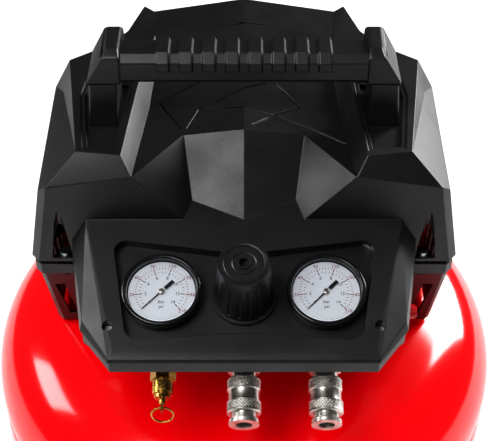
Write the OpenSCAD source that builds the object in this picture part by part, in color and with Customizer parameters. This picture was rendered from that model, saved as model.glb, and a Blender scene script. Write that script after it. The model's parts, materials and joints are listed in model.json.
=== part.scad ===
// Portable pancake air compressor: a flat round tank on four feet, an oil-free
// piston pump on top of it, and a faceted two-part cover with a fixed carrying
// handle and a tilted console for two gauges, the regulator and the outlets.
// Millimetres. Origin on the floor below the tank's axis, front towards -Y.

/* [Tank] */
// Outside radius of the tank
tank_r = 208; // [190:1:260]
// Height of each domed head above the straight skirt
head_h = 85; // [76:1:110]
// Radius of the knuckle between skirt and dome
knuckle_r = 65; // [50:1:70]
// Straight skirt between the two heads
skirt_h = 45; // [30:1:90]
// Thickness of the tank's steel sheet
tank_wall = 2.5; // [1.5:0.1:4]
// Clear height below the tank
tank_lift = 44; // [40:1:60]
// Radius of the ring on which the four feet stand
foot_ring_r = 140; // [110:1:160]
// Radius of a rubber foot at the floor
foot_r = 20; // [16:1:26]

/* [Cover] */
// Height of the covers' parting plane above the tank's top
parting_h = 76; // [70:1:90]
// Wall of the moulded covers
cover_wall = 2.6; // [2:0.1:3.2]
// Gap between the lower cover's edge and the tank
tank_gap = 4; // [2:0.5:8]
// Height of the shoulders above the parting plane
shoulder_h = 87; // [80:1:100]

/* [Handle] */
// Distance between the inner sides of the handle's two ends
handle_span = 171; // [160:1:190]
// Clear height under the grip, above the shoulders
grip_h = 30; // [26:1:50]
// Depth of the grip, front to back
grip_d = 30; // [24:1:36]
// Thickness of the grip, top to bottom
grip_t = 22; // [18:1:28]
// Number of raised ribs on the grip
rib_count = 8; // [4:1:9]

/* [Console] */
// Tilt of the console's face
tilt = 19; // [15:1:24]
// Distance between neighbouring stations of the console
station_pitch = 56.2; // [56:0.5:62]
// Outside diameter of a pressure gauge
gauge_d = 54.4; // [48:0.5:55]
// Depth of the recess in the console's face
recess_deep = 8.4; // [6:0.2:10]
// Diameter of the regulator knob at its collar
knob_d = 46; // [38:1:48]
// Height of the regulator knob
knob_h = 48; // [36:1:56]
// Radius of the bore in a quick coupler
coupler_bore_r = 5.6; // [5:0.1:6]

/* [Pump] */
// Bore radius of the pump's cylinder
bore_r = 25; // [20:1:27]
// Stroke of the piston
stroke = 20; // [14:1:24]
// Outside radius of the motor
motor_r = 48; // [42:1:50]
// Radius of the motor shaft
shaft_r = 6; // [5:0.5:8]

/* [Hidden] */

$fn = 64;
fit = 0.3;                                  // gap between still pieces that slip together
run = 0.05;                                 // radial gap of a running fit
cut = 1;                                    // how far a cutting shape runs past a surface

// Tank
tank_top = tank_lift + 2 * head_h + skirt_h;
seam_z = tank_lift + head_h + skirt_h / 2 + 4.5;
crown_r = ((tank_r - knuckle_r) ^ 2 + head_h ^ 2 - knuckle_r ^ 2) / (2 * (head_h - knuckle_r));
weld_w = 2.4;
weld_sunk = 0.9;
leg_r = 15;
foot_h = 24;
foot_screw_r = 4;
drain_r = 9;

// Cover
parting_z = tank_top + parting_h;
wall_foot_y = -71;                          // front wall where it meets the parting plane
wall_lean = 4 / 66;                         // how much the front wall leans back
crease_h = 66;
rim_h = 59;
notch_h = 4;                                // open step between the two covers
rim_band_h = 10;
lower_foot_z = tank_top - 26;               // the lower cover's loft ends here, inside the dome

// Console: a frame on the manifold's centre, with z out of the face and -y down the slope
manifold_y = -107;
manifold_drop = 21.6;                       // manifold centre below the parting plane
face_q = 44.4;                              // manifold centre to the console's face
manifold_z = parting_z - manifold_drop;
manifold_half = 11;
floor_q = face_q - recess_deep;
sides = [-1, 1];

// Gauges, out along z of the console frame
bezel_q = face_q + 2.9;
gauge_r = gauge_d / 2;
gauge_back_q = 22;
dial_r = gauge_r - 4.2;
dial_q = bezel_q - 5.2;
lens_q = bezel_q - 1.6;
lens_t = 1.2;
pointer_gap = 0.6;
gauge_bore_r = dial_r + 0.3;

// Couplers and safety valve, down along -y of the console frame
adapter_s = 42.5;
sleeve_s = [47, 55.7, 64.4, 72.4];
sleeve_r = [11.8, 10.8, 12];
nose_s = 80;
core_r = 8.6;
sleeve_travel = 4;
valve_s = [36, 48, 58, 61, 66];
eye_s = 67.5;
eye_hole_r = 1.5;
ring_r = 7.6;
ring_wire_r = 0.65;

// Regulator
bonnet_r = 12;
screw_r = 4;
knob_lift = 0.5;                            // knob above the recess floor
knob_top_q = floor_q + knob_h;

// Switch in the console's right side
button_r = 5.4;
button_y = -110;
button_z = parting_z - 12;
button_x = [107, 123.5];
console_side_x = 117.4;

// Handle
plateau_z = parting_z + shoulder_h;
pocket_deep = 5;
post_x = handle_span / 2;
post_w = 25;
grip_y = -16;                               // front face of the grip
grip_z = plateau_z + grip_h;
cap_z = grip_z + grip_t + 4;
rib_pitch = 16;
rib_w = 9;
rib_proud = 1.8;

// Pump
plate_z = tank_top + 10;
plate_t = 3;
axis_y = 20;
axis_z = plate_z + plate_t + motor_r + 2;
stator_x = [-80, -20];
housing_x = [-98, 10];
case_x = [14, 76];
rod_x = 49;
disc_x = [34, 42];
disc_r = stroke / 2 + 13;
pin_r = 5;
deck_y = axis_y + 46;                       // crankcase face that carries the cylinder
cylinder_h = stroke + 18;
head_y = deck_y + cylinder_h;
head_w = 2 * bore_r + 22;
piston_y = head_y - 1;
hub_bearing_r = shaft_r + 8;
fan_x = [-126, -106];
intake_x = rod_x + 18;
outlet_x = rod_x - 18;

function console_h(y) = face_q / cos(tilt) - manifold_drop + tan(tilt) * (y - manifold_y);
function wall_y(h) = wall_foot_y + wall_lean * h;
console_edge_h = console_h(wall_foot_y) / (1 - wall_lean * tan(tilt));
console_edge_y = wall_y(console_edge_h);

// Upper cover: corner points of its right half, heights above the parting plane,
// and the way from each corner to the wall's inner side, in wall thicknesses
corners = [
    ["face_mid", [0, console_edge_y, console_edge_h], [0, 0.5, -1]],
    ["face_notch", [37.1, -53.7, console_h(-53.7)], [0.4, 0.5, -1]],
    ["face_knee", [42.8, console_edge_y, console_edge_h], [0.8, 1, -0.9]],
    ["face_top", [111.8, console_edge_y, console_edge_h], [-0.7, 1, -0.8]],
    ["face_low", [87.7, -162.6, console_h(-162.6)], [-0.5, 0.7, -1]],
    ["face_low_mid", [0, -162.6, console_h(-162.6)], [0, 0.7, -1]],
    ["side_top", [123, wall_y(20.5), 20.5], [-1, 1, -0.3]],
    ["side_knee", [110.5, -137, 6.5], [-1, 0.3, -0.5]],
    ["lip", [90, -169, 3], [-0.5, 1, -0.5]],
    ["lip_mid", [0, -169, 3], [0, 1, -0.5]],
    ["skirt_mid", [0, -170, 0], [0, 1, 0]],
    ["skirt_lip", [90.5, -170, 0], [-0.5, 1, 0]],
    ["skirt_knee", [112, -140, 0], [-1, 0.5, 0]],
    ["skirt_wall", [124.5, wall_foot_y, 0], [-1, 1, 0]],
    ["pillar_in", [149, wall_foot_y, 0], [-0.5, 1, 0]],
    ["pillar_out", [155, -64, 0], [-1, 0.5, 0]],
    ["side_back", [159, 75, 0], [-1, -0.4, 0]],
    ["back_corner", [100, 146, 0], [-0.5, -1, 0]],
    ["back_mid", [0, 154, 0], [0, -1, 0]],
    ["crease_in", [77.5, wall_y(crease_h + 9), crease_h + 9], [1, 1, -1.2]],
    ["crease_out", [137.6, wall_y(crease_h), crease_h], [-1, 1, -0.7]],
    ["strip_in", [138.5, wall_y(rim_h), rim_h], [-0.8, 1, -0.5]],
    ["strip_out", [144.5, -60.4, rim_h], [-1, 0.6, -0.8]],
    ["hump_side", [43.6, -18, crease_h + 9], [0, 0.4, -1.3]],
    ["hump_top", [0, -21, crease_h + 16.4], [0, 0.4, -1.3]],
    ["valley_side", [71, 21, 70], [1, 0, -1]],
    ["valley_mid", [0, 22, 73], [0, 0, -1]],
    ["rise_side", [68, 62, 78], [1, 0, -1]],
    ["rise_mid", [0, 62, 79], [0, 0, -1]],
    ["panel_mid", [0, 105, 94], [0, 0, -1]],
    ["shoulder_in", [84.7, -57.6, shoulder_h], [1, 0.5, -1]],
    ["shoulder_out", [116, -53, shoulder_h], [-0.4, 0.5, -1]],
    ["shoulder_waist", [79, 25, shoulder_h], [1, 0, -1]],
    ["shoulder_heel", [70, 99, shoulder_h], [0.5, -0.5, -1]],
    ["shoulder_back", [92, 104, shoulder_h], [-0.4, -0.5, -1]],
    ["shoulder_dent", [106, 83, shoulder_h], [-0.6, -0.6, -1]],
    ["shoulder_side", [133.5, 62, shoulder_h], [-0.8, -0.5, -1]],
    ["slope_end", [139, 50, crease_h], [-1, -0.3, -0.7]],
    ["rim_side", [149, 73, rim_h - 4], [-1, -0.6, -0.7]],
    ["rim_corner", [97, 135, rim_h - 2], [-0.6, -1, -0.7]],
    ["rim_mid", [0, 150, rim_h], [0, -1, -0.7]],
    ["peak_side", [80, 129, 95], [0, -1, -1]],
    ["peak_dip", [72, 124, 93], [0, -1, -1]],
    ["peak_mid", [0, 137, 97], [0, -1, -1]]
];

// Facets of the right half, each running clockwise as seen from outside, and starting at
// a corner from which straight cuts split it into triangles
facets = [
    ["face_low_mid", "face_mid", "face_notch", "face_knee", "face_top", "face_low"],
    ["face_top", "side_top", "side_knee"],
    ["face_top", "side_knee", "lip", "face_low"],
    ["face_low_mid", "face_low", "lip", "lip_mid"],
    ["lip_mid", "lip", "skirt_lip", "skirt_mid"],
    ["lip", "side_knee", "skirt_knee", "skirt_lip"],
    ["side_knee", "side_top", "skirt_wall", "skirt_knee"],
    ["face_knee", "crease_in", "crease_out", "face_top"],
    ["side_top", "face_top", "crease_out", "strip_in", "pillar_in", "skirt_wall"],
    ["hump_side", "crease_in", "face_knee"],
    ["hump_side", "face_knee", "face_notch"],
    ["hump_top", "hump_side", "face_notch", "face_mid"],
    ["valley_mid", "valley_side", "hump_side", "hump_top"],
    ["hump_side", "valley_side", "crease_in"],
    ["crease_in", "valley_side", "shoulder_waist", "shoulder_in"],
    ["shoulder_in", "shoulder_out", "crease_out", "crease_in"],
    ["shoulder_out", "shoulder_side", "slope_end", "crease_out"],
    ["crease_out", "slope_end", "rim_side", "strip_out"],
    ["crease_out", "strip_out", "strip_in"],
    ["slope_end", "shoulder_side", "rim_side"],
    ["strip_in", "strip_out", "pillar_out", "pillar_in"],
    ["strip_out", "rim_side", "side_back", "pillar_out"],
    ["rim_side", "rim_corner", "back_corner", "side_back"],
    ["rim_corner", "rim_mid", "back_mid", "back_corner"],
    ["shoulder_dent", "shoulder_side", "shoulder_out", "shoulder_in", "shoulder_waist",
     "shoulder_heel", "shoulder_back"],
    ["shoulder_dent", "rim_corner", "rim_side"],
    ["shoulder_dent", "rim_side", "shoulder_side"],
    ["shoulder_back", "peak_side", "rim_corner"],
    ["shoulder_back", "rim_corner", "shoulder_dent"],
    ["peak_dip", "peak_mid", "rim_mid", "rim_corner"],
    ["peak_dip", "rim_corner", "peak_side"],
    ["shoulder_heel", "peak_dip", "peak_side", "shoulder_back"],
    ["panel_mid", "peak_mid", "peak_dip", "shoulder_heel"],
    ["valley_mid", "rise_mid", "rise_side", "valley_side"],
    ["rise_mid", "panel_mid", "shoulder_heel", "rise_side"],
    ["valley_side", "rise_side", "shoulder_waist"],
    ["rise_side", "shoulder_heel", "shoulder_waist"],
    ["back_mid", "skirt_mid", "skirt_lip", "skirt_knee", "skirt_wall", "pillar_in",
     "pillar_out", "side_back", "back_corner"]
];

function mirror_x(p) = [-p[0], p[1], p[2]];
function place(row, inset) = row[1] + inset * row[2]
    - [0, 0, inset > 0 && row[1][2] == 0 ? cut : 0];
function left_of(i) = corners[i][1][0] == 0 ? i : i + len(corners);
function split(f) = [for (i = [1 : len(f) - 2]) [f[0], f[i], f[i + 1]]];
function backwards(list) = [for (i = [len(list) - 1 : -1 : 0]) list[i]];

// The cover's faceted body, with every wall moved in by inset
module cover_body(inset) {
    half = [for (row = corners) place(row, inset)];
    right = [for (facet = facets) each split(search(facet, corners))];
    left = [for (facet = right) backwards([for (i = facet) left_of(i)])];
    translate([0, 0, parting_z])
        polyhedron(concat(half, [for (p = half) mirror_x(p)]), concat(right, left));
}

// A closed body between two outlines with the same number of points
module loft(low, low_z, high, high_z) {
    n = len(low);
    points = concat([for (p = low) [p[0], p[1], low_z]], [for (p = high) [p[0], p[1], high_z]]);
    walls = [for (i = [0 : n - 1]) [i, i + n, (i + 1) % n + n, (i + 1) % n]];
    polyhedron(points, concat(walls, [[for (i = [0 : n - 1]) i]],
                              [[for (i = [n - 1 : -1 : 0]) i + n]]));
}

module console_frame() translate([0, manifold_y, manifold_z]) rotate([tilt, 0, 0]) children();

// Places children on the console frame with their z axis down the slope
module outlet_frame(station)
    console_frame() translate([station * station_pitch, 0, 0]) rotate([90, 0, 0]) children();

module ring(r_out, r_in, h) difference() {
    cylinder(r = r_out, h = h);
    translate([0, 0, -cut]) cylinder(r = r_in, h = h + 2 * cut);
}

// A cylinder or ring along X from x[0] to x[1], at the motor's axis
module on_axis(x) translate([x[0], axis_y, axis_z]) rotate([0, 90, 0]) children();

module at_feet() for (a = [45 : 90 : 315])
    rotate([0, 0, a]) translate([foot_ring_r, 0, 0]) children();

// ---------------------------------------------------------------- tank

// Half outline of a head, from its apex to the skirt, with the sheet's face moved in by t
function head_outline(t) = let (lean = atan((tank_r - knuckle_r) / (crown_r - head_h)))
    concat([for (i = [0 : 8]) let (a = lean * i / 8)
                [(crown_r - t) * sin(a), head_h - crown_r + (crown_r - t) * cos(a)]],
           [for (i = [1 : 12]) let (a = lean + (90 - lean) * i / 12)
                [tank_r - knuckle_r + (knuckle_r - t) * sin(a), (knuckle_r - t) * cos(a)]]);

// Outline of a head and its stretch of skirt down to foot, closed at the axis
module head_section(t, foot)
    polygon(concat(head_outline(t), [[tank_r - t, -foot], [0, -foot]]));

module head_shell(foot) rotate_extrude($fn = 180) difference() {
    head_section(0, foot);
    head_section(tank_wall, foot + cut);
}

module upper_head() translate([0, 0, tank_top - head_h]) children();
module lower_head() translate([0, 0, tank_lift + head_h]) mirror([0, 0, 1]) children();

// The room that the tank takes, grown by gap
module tank_room(gap) {
    upper_head() rotate_extrude($fn = 180) head_section(-gap, skirt_h / 2 + 1);
    lower_head() rotate_extrude($fn = 180) head_section(-gap, skirt_h / 2 + 1);
}

module tank_upper_shell() color("#d8000c") difference() {
    upper_head() head_shell(tank_top - head_h - seam_z - weld_w / 2);
    for (at = [check_valve_at, supply_at]) translate([at[0], at[1], tank_top - 60])
        cylinder(r = bung_r - 4, h = 80);
}

module tank_lower_shell() color("#d8000c") difference() {
    lower_head() head_shell(seam_z - weld_w / 2 - tank_lift - head_h);
    translate([0, 0, tank_lift - 10]) cylinder(r = 8, h = 30);
}

module tank_seam_weld() color("#b0000c")
    translate([0, 0, seam_z - weld_w / 2]) ring(tank_r - weld_sunk, tank_r - tank_wall - 1, weld_w);

check_valve_at = [-50, 92];
supply_at = [-25, -62];
bung_r = 13;
bung_h = 12;

module tank_bung(at, hole_r) difference() {
    translate([at[0], at[1], tank_top - 24]) cylinder(r = bung_r, h = 24 + bung_h - 8);
    translate([at[0], at[1], tank_top - 25]) cylinder(r = hole_r, h = 40);
}

module tank_ports() color("#d8000c") {
    difference() {
        union() {
            tank_bung(check_valve_at, 6);
            tank_bung(supply_at, 4);
        }
        tank_room(0);
    }
    difference() {
        translate([0, 0, tank_lift - 5]) cylinder(r = 12, h = 12);
        translate([0, 0, tank_lift - 6]) cylinder(r = 5, h = 16);
        tank_room(0);
    }
}

bracket_x = 88;
bracket_y = [-18, 88];

module tank_brackets() color("#d8000c") difference() {
    for (sx = sides, y = bracket_y)
        translate([sx * bracket_x, y, 0]) {
            translate([-16, -13, tank_top - 40]) cube([32, 26, 40 - 1]);
        }
    tank_room(0);
    for (sx = sides, y = bracket_y)
        translate([sx * bracket_x, y, 0]) {
            translate([-13, -14, tank_top - 41]) cube([26, 28, 38]);
            translate([0, 0, tank_top - 4]) cylinder(r = 3.2, h = 6);
        }
}

module tank_legs() color("#d8000c") difference() {
    at_feet() translate([0, 0, foot_h]) ring(leg_r, foot_screw_r + fit, tank_lift + 20);
    tank_room(0);
}

module rubber_feet() color("#1c1c1e") at_feet() difference() {
    rotate_extrude() polygon([[foot_screw_r + fit, 0], [foot_r - 1, 0], [foot_r, 1],
                              [foot_r - 4, foot_h], [foot_screw_r + fit, foot_h]]);
    translate([0, 0, -cut]) cylinder(r = 9, h = 10 + cut);
}

module foot_screws() color("#b9bcc0") at_feet() {
    translate([0, 0, 5]) cylinder(r = 7.5, h = 5);
    translate([0, 0, 10]) cylinder(r = foot_screw_r, h = foot_h + 4);
}

module drain_valve_body() color("#c9a24a") translate([0, 0, tank_lift - 5]) difference() {
    union() {
        translate([0, 0, -8]) cylinder(r = drain_r, h = 8, $fn = 6);
        translate([0, 0, -13]) cylinder(r = 6, h = 5);
        cylinder(r = 4.8, h = 8);
    }
    translate([0, 0, -14]) cylinder(r = 2.4, h = 24);
}

module drain_valve_stem() color("#c9a24a") translate([0, 0, tank_lift - 5]) {
    translate([0, 0, -22]) cylinder(r = 2.4 - run, h = 20);
    translate([-12, -2, -24]) cube([24, 4, 6]);
}

// ---------------------------------------------------------------- pump

plate_x = [-112, 108];
plate_y = [-42, 100];

module base_plate() color("#2c2d30") difference() {
    translate([plate_x[0], plate_y[0], plate_z])
        cube([plate_x[1] - plate_x[0], plate_y[1] - plate_y[0], plate_t]);
    for (sx = sides, y = bracket_y) translate([sx * bracket_x, y, plate_z - cut])
        cylinder(r = 3.2, h = plate_t + 2 * cut);
    translate([check_valve_at[0], check_valve_at[1], plate_z - cut])
        cylinder(r = bung_r + 1, h = plate_t + 2 * cut);
}

module isolator_mounts() color("#1c1c1e") for (sx = sides, y = bracket_y)
    translate([sx * bracket_x, y, tank_top - 1]) ring(10, 3.2, plate_z - tank_top + 1);

module motor_housing() color("#4a4c50") difference() {
    union() {
        on_axis(housing_x) cylinder(r = motor_r, h = housing_x[1] - housing_x[0]);
        translate([-84, axis_y - 26, plate_z + plate_t]) cube([12, 52, 20]);
        translate([-26, axis_y - 26, plate_z + plate_t]) cube([12, 52, 20]);
    }
    on_axis([housing_x[0] + 9, 0])
        cylinder(r = motor_r - 2.4, h = housing_x[1] - housing_x[0] - 18);
    on_axis([housing_x[0] - cut, 0]) cylinder(r = hub_bearing_r, h = 8 + cut);
    on_axis([housing_x[1] - 8, 0]) cylinder(r = hub_bearing_r, h = 8 + cut);
    on_axis([housing_x[0] - cut, 0]) cylinder(r = shaft_r + 2, h = 130);
    for (a = [0 : 45 : 315]) on_axis([housing_x[0] - cut, 0])
        rotate([0, 0, a]) translate([28, 0, 0]) cylinder(r = 6, h = 12);
}

module stator_core() color("#85878b") on_axis(stator_x) difference() {
    cylinder(r = motor_r - 2.6, h = stator_x[1] - stator_x[0]);
    translate([0, 0, -cut]) cylinder(r = 27, h = 62);
    for (a = [0 : 30 : 330]) rotate([0, 0, a]) translate([33, 0, -cut])
        cylinder(r = 4, h = 62, $fn = 24);
}

module stator_windings() color("#b8672e")
    for (x = [stator_x[0] - 9, stator_x[1]]) on_axis([x, 0]) ring(40, 28.5, 9);

module rotor_core() color("#9a9ca0")
    on_axis(stator_x) ring(26.5, shaft_r, stator_x[1] - stator_x[0]);

module motor_shaft() color("#c4c6ca")
    on_axis([fan_x[0] - 2, 0]) cylinder(r = shaft_r, h = disc_x[1] - fan_x[0] + 2);

module shaft_bearings() color("#c4c6ca")
    for (x = [housing_x[0], housing_x[1] - 8]) on_axis([x, 0])
        ring(hub_bearing_r, shaft_r + run, 8);

module cooling_fan() color("#2c2d30") on_axis(fan_x) difference() {
    union() {
        cylinder(r = 15, h = 20);
        cylinder(r = motor_r - 4, h = 2);
        for (a = [0 : 40 : 320]) rotate([0, 0, a]) translate([12, -1, 0])
            cube([motor_r - 17, 2, 18]);
    }
    translate([0, 0, -cut]) cylinder(r = shaft_r, h = 22);
}

module crankcase() color("#a9acb0") difference() {
    union() {
        translate([case_x[0], axis_y - 36, plate_z + plate_t])
            cube([case_x[1] - case_x[0], deck_y - axis_y + 36, 2 * motor_r + 2]);
    }
    translate([case_x[0] + 8, axis_y - 31, plate_z + plate_t + 8])
        cube([case_x[1] - case_x[0] + 1, deck_y - axis_y + 26, 2 * motor_r - 12]);
    on_axis([case_x[0] - cut, 0]) cylinder(r = shaft_r + 3, h = 12);
    translate([rod_x, deck_y - 6, axis_z]) rotate([-90, 0, 0]) cylinder(r = bore_r + 1, h = 8);
}

module crank_disc() color("#85878b") on_axis(disc_x) difference() {
    cylinder(r = disc_r, h = disc_x[1] - disc_x[0]);
    translate([0, 0, -cut]) cylinder(r = shaft_r, h = 10);
}

pin_y = axis_y + stroke / 2;

module piston_rod() color("#b9bcc0") difference() {
    union() {
        translate([rod_x - 5, pin_y, axis_z]) rotate([0, 90, 0]) cylinder(r = 14, h = 10);
        translate([rod_x - 4, pin_y + 11, axis_z - 6]) cube([8, piston_y - 9 - pin_y - 11, 12]);
    }
    translate([rod_x - 7, pin_y, axis_z]) rotate([0, 90, 0]) cylinder(r = 10, h = 14);
}

module rod_bearing() color("#c4c6ca") translate([rod_x - 5, pin_y, axis_z]) rotate([0, 90, 0])
    ring(10, pin_r, 10);

module on_bore(y) translate([rod_x, y, axis_z]) rotate([-90, 0, 0]) children();

module piston() color("#c4c6ca") {
    on_bore(piston_y - 9) cylinder(r = bore_r - 0.8, h = 4);
    on_bore(piston_y - 5.2) cylinder(r = bore_r - 2.5, h = 1.2);
    on_bore(piston_y - 4) cylinder(r = bore_r - 0.8, h = 4);
    translate([rod_x - 6.5, pin_y, axis_z]) rotate([0, 90, 0]) cylinder(r = pin_r, h = 13);
}

module piston_seal() color("#8a6d4a")
    on_bore(piston_y - 5) ring(bore_r - run, bore_r - 2.5, 1);

module cylinder_sleeve() color("#b9bcc0") on_bore(deck_y) difference() {
    union() {
        cylinder(r = bore_r + 4, h = cylinder_h);
        for (z = [0 : 7 : cylinder_h - 3]) translate([-head_w / 2, -head_w / 2, z])
            cube([head_w, head_w, 2.4]);
    }
    translate([0, 0, -cut]) cylinder(r = bore_r, h = cylinder_h + 2 * cut);
    head_bolt_holes(cylinder_h);
}

module head_bolt_holes(h) for (x = sides, y = sides)
    translate([x * (head_w / 2 - 6), y * (head_w / 2 - 6), -cut])
        cylinder(r = 3.2, h = h + 2 * cut);

module valve_plate() color("#d0d2d5") on_bore(head_y) difference() {
    translate([-head_w / 2, -head_w / 2, 0]) cube([head_w, head_w, 3]);
    for (x = sides) translate([x * 12, 0, -cut]) cylinder(r = 3, h = 5);
    head_bolt_holes(3);
}

module cylinder_head() color("#a9acb0") on_bore(head_y + 3) difference() {
    union() {
        translate([-head_w / 2, -head_w / 2, 0]) cube([head_w, head_w, 12]);
        for (x = [-head_w / 2 + 3 : 8 : head_w / 2 - 4]) translate([x, -head_w / 2, 0])
            cube([2.4, head_w, 17]);
    }
    for (x = sides) translate([x * 12 - 9, -14, -cut]) cube([18, 28, 8 + cut]);
    for (x = sides) translate([x * 18, -head_w / 2 - cut, 5]) rotate([-90, 0, 0])
        cylinder(r = 3, h = 30);
    for (x = sides, y = sides)
        translate([x * (head_w / 2 - 6), y * (head_w / 2 - 6), 6]) cylinder(r = 7, h = 20);
    head_bolt_holes(12);
}

module head_bolts() color("#c4c6ca") for (x = sides, y = sides)
    on_bore(deck_y + 2.6) translate([x * (head_w / 2 - 6), y * (head_w / 2 - 6), 0]) {
        cylinder(r = 3, h = cylinder_h + 6.4);
        translate([0, 0, cylinder_h + 6.4]) cylinder(r = 5.5, h = 5, $fn = 6);
    }

module intake_filter() color("#2c2d30")
    translate([intake_x, head_y + 8, axis_z + head_w / 2]) difference() {
        union() {
            cylinder(r = 5, h = 8);
            translate([0, 0, 6]) cylinder(r = 13, h = 18);
        }
        translate([0, 0, -cut]) cylinder(r = 3, h = 20);
    }

tube_r = 4;

// A straight length of tube between two points, with a ball at each bend
module tube_run(path) {
    for (i = [0 : len(path) - 2]) let (d = path[i + 1] - path[i])
        translate(path[i]) rotate([0, acos(d[2] / norm(d)), atan2(d[1], d[0])])
            cylinder(r = tube_r, h = norm(d));
    for (i = [1 : len(path) - 2]) translate(path[i]) sphere(r = tube_r + fit);
}

check_top_z = tank_top + 28;
check_side = 1;                             // side of the check valve that the tube enters

module discharge_tube() color("#b8733a") tube_run([
    [outlet_x, head_y + 8, axis_z - head_w / 2],
    [outlet_x, head_y + 8, check_top_z - 6],
    [outlet_x, check_valve_at[1], check_top_z - 6],
    [check_valve_at[0] + check_side * 5, check_valve_at[1], check_top_z - 6]]);

module check_valve() color("#c9a24a") translate([check_valve_at[0], check_valve_at[1], 0])
    difference() {
        union() {
            translate([0, 0, tank_top + 4])
                cylinder(r = 10, h = check_top_z - tank_top - 4, $fn = 6);
            translate([0, 0, check_top_z]) cylinder(r = 6, h = 5);
            translate([0, 0, tank_top - 14]) cylinder(r = 6 - run, h = 19);
        }
        translate([check_side * 9, 0, check_top_z - 6]) rotate([0, 90, 0])
            cylinder(r = tube_r + run, h = 12, center = true);
    }

module supply_tube() color("#b8733a") tube_run([
    [supply_at[0], supply_at[1], tank_top - 2],
    [supply_at[0], supply_at[1], tank_top + 18],
    [supply_at[0], manifold_y, tank_top + 18],
    [supply_at[0], manifold_y, manifold_z - 6]]);

// ---------------------------------------------------------------- console

manifold_x = [-72, 80];

module air_manifold() color("#b9bcc0") console_frame() difference() {
    union() {
        translate([manifold_x[0], -manifold_half, -manifold_half])
            cube([manifold_x[1] - manifold_x[0], 2 * manifold_half, 2 * manifold_half]);
    }
    translate([manifold_x[0] + 6, 0, 0]) rotate([0, 90, 0])
        cylinder(r = 4.5, h = manifold_x[1] - manifold_x[0] - 5);
    for (s = [-1 : 1]) translate([s * station_pitch, 0, 0]) {
        cylinder(r = 4.5, h = manifold_half + cut);
        rotate([90, 0, 0]) cylinder(r = 4.5, h = manifold_half + cut);
    }
    translate([supply_at[0], 0, 0]) rotate([-tilt, 0, 0]) translate([0, 0, -30])
        cylinder(r = tube_r + run, h = 26);
}

module pressure_switch() color("#2c2d30") difference() {
    translate([manifold_x[1] + 2.5, button_y - 17, manifold_z - 8])
        cube([button_x[0] - manifold_x[1] - 4.5, 38, 28]);
    translate([button_x[0] - 10, button_y, button_z]) rotate([0, 90, 0])
        cylinder(r = button_r - 1.5, h = 12);
}

module power_button() color("#c8101a") translate([button_x[0] - 5, button_y, button_z])
    rotate([0, 90, 0]) {
        cylinder(r = button_r - 1.5 - run, h = 7);
        translate([0, 0, 7]) cylinder(r = button_r, h = button_x[1] - button_x[0] - 5);
        translate([0, 0, button_x[1] - button_x[0] + 2]) cylinder(r = button_r - 1.2, h = 1.4);
    }

module regulator_bonnet() color("#2c2d30") console_frame() difference() {
    union() {
        translate([0, 0, manifold_half]) cylinder(r = 16, h = floor_q - manifold_half - 4);
        translate([0, 0, floor_q - 4]) cylinder(r = bonnet_r, h = 20);
    }
    translate([0, 0, manifold_half + 3]) cylinder(r = 8, h = floor_q);
    translate([0, 0, floor_q + 2]) cylinder(r = screw_r + run, h = 20);
}

module regulator_spring() color("#85878b") console_frame()
    translate([0, 0, manifold_half + 4]) ring(7, 4.6, floor_q - manifold_half - 3);

module regulator_screw() color("#c4c6ca") console_frame() {
    translate([0, 0, floor_q + 3]) cylinder(r = screw_r, h = knob_h - 14);
    translate([0, 0, floor_q + 1.2]) cylinder(r = 6.5, h = 1.8);
}

module regulator_knob() color("#202123") console_frame() translate([0, 0, floor_q + knob_lift])
    difference() {
        union() {
            cylinder(r = knob_d / 2, h = 3);
            translate([0, 0, 3]) cylinder(r1 = knob_d / 2 - 2, r2 = knob_d / 2 - 6,
                                          h = knob_h - 3 - knob_lift, $fn = 96);
        }
        translate([0, 0, -cut]) cylinder(r = bonnet_r + 1, h = 20 + cut);
        cylinder(r = screw_r + run, h = knob_h - 9);
        for (a = [0 : 20 : 340]) rotate([0, 0, a]) translate([knob_d / 2 - 1, 0, 6])
            rotate([0, -5, 0]) cylinder(r = 2, h = knob_h - 14, $fn = 24);
        translate([0, 0, knob_h - 5]) cylinder(r = 4, h = 6);
    }

module gauge_place(s) console_frame() translate([s * station_pitch, 0, 0]) children();

module gauge_cases() color("#18181a") for (s = sides) gauge_place(s) difference() {
    union() {
        translate([0, 0, floor_q + fit]) cylinder(r = gauge_r, h = bezel_q - floor_q - fit);
        translate([0, 0, gauge_back_q]) cylinder(r = gauge_r - 2, h = floor_q - gauge_back_q + 1);
        translate([0, 0, manifold_half]) cylinder(r = 8, h = gauge_back_q - manifold_half, $fn = 6);
    }
    translate([0, 0, gauge_back_q + 2]) cylinder(r = gauge_r - 4, h = dial_q - gauge_back_q - 3);
    translate([0, 0, dial_q - 1]) cylinder(r = gauge_bore_r, h = 20);
}

module gauge_dials() color("#f4f4f2") for (s = sides) gauge_place(s)
    translate([0, 0, dial_q - 1]) ring(dial_r, 1.2, 1);

module gauge_lenses() color([0.85, 0.9, 0.92, 0.35]) for (s = sides) gauge_place(s)
    translate([0, 0, lens_q]) cylinder(r = dial_r, h = lens_t);

pointer_rest = -135;                        // pointer's angle at no pressure, from the top

module gauge_pointer(s) gauge_place(s) {
    translate([0, 0, dial_q - 3]) cylinder(r = 1.2 - run, h = 5);
    translate([0, 0, dial_q + pointer_gap]) cylinder(r = 2.2, h = 0.8);
    translate([0, 0, dial_q + pointer_gap]) rotate([0, 0, -pointer_rest]) linear_extrude(0.6)
        polygon([
            [-1.6, -7], [1.6, -7], [1, 0],
            [0.3, dial_r - 3.5], [-0.3, dial_r - 3.5], [-1, 0]]);
}

module left_gauge_pointer() color("#101012") gauge_pointer(-1);
module right_gauge_pointer() color("#101012") gauge_pointer(1);

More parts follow.
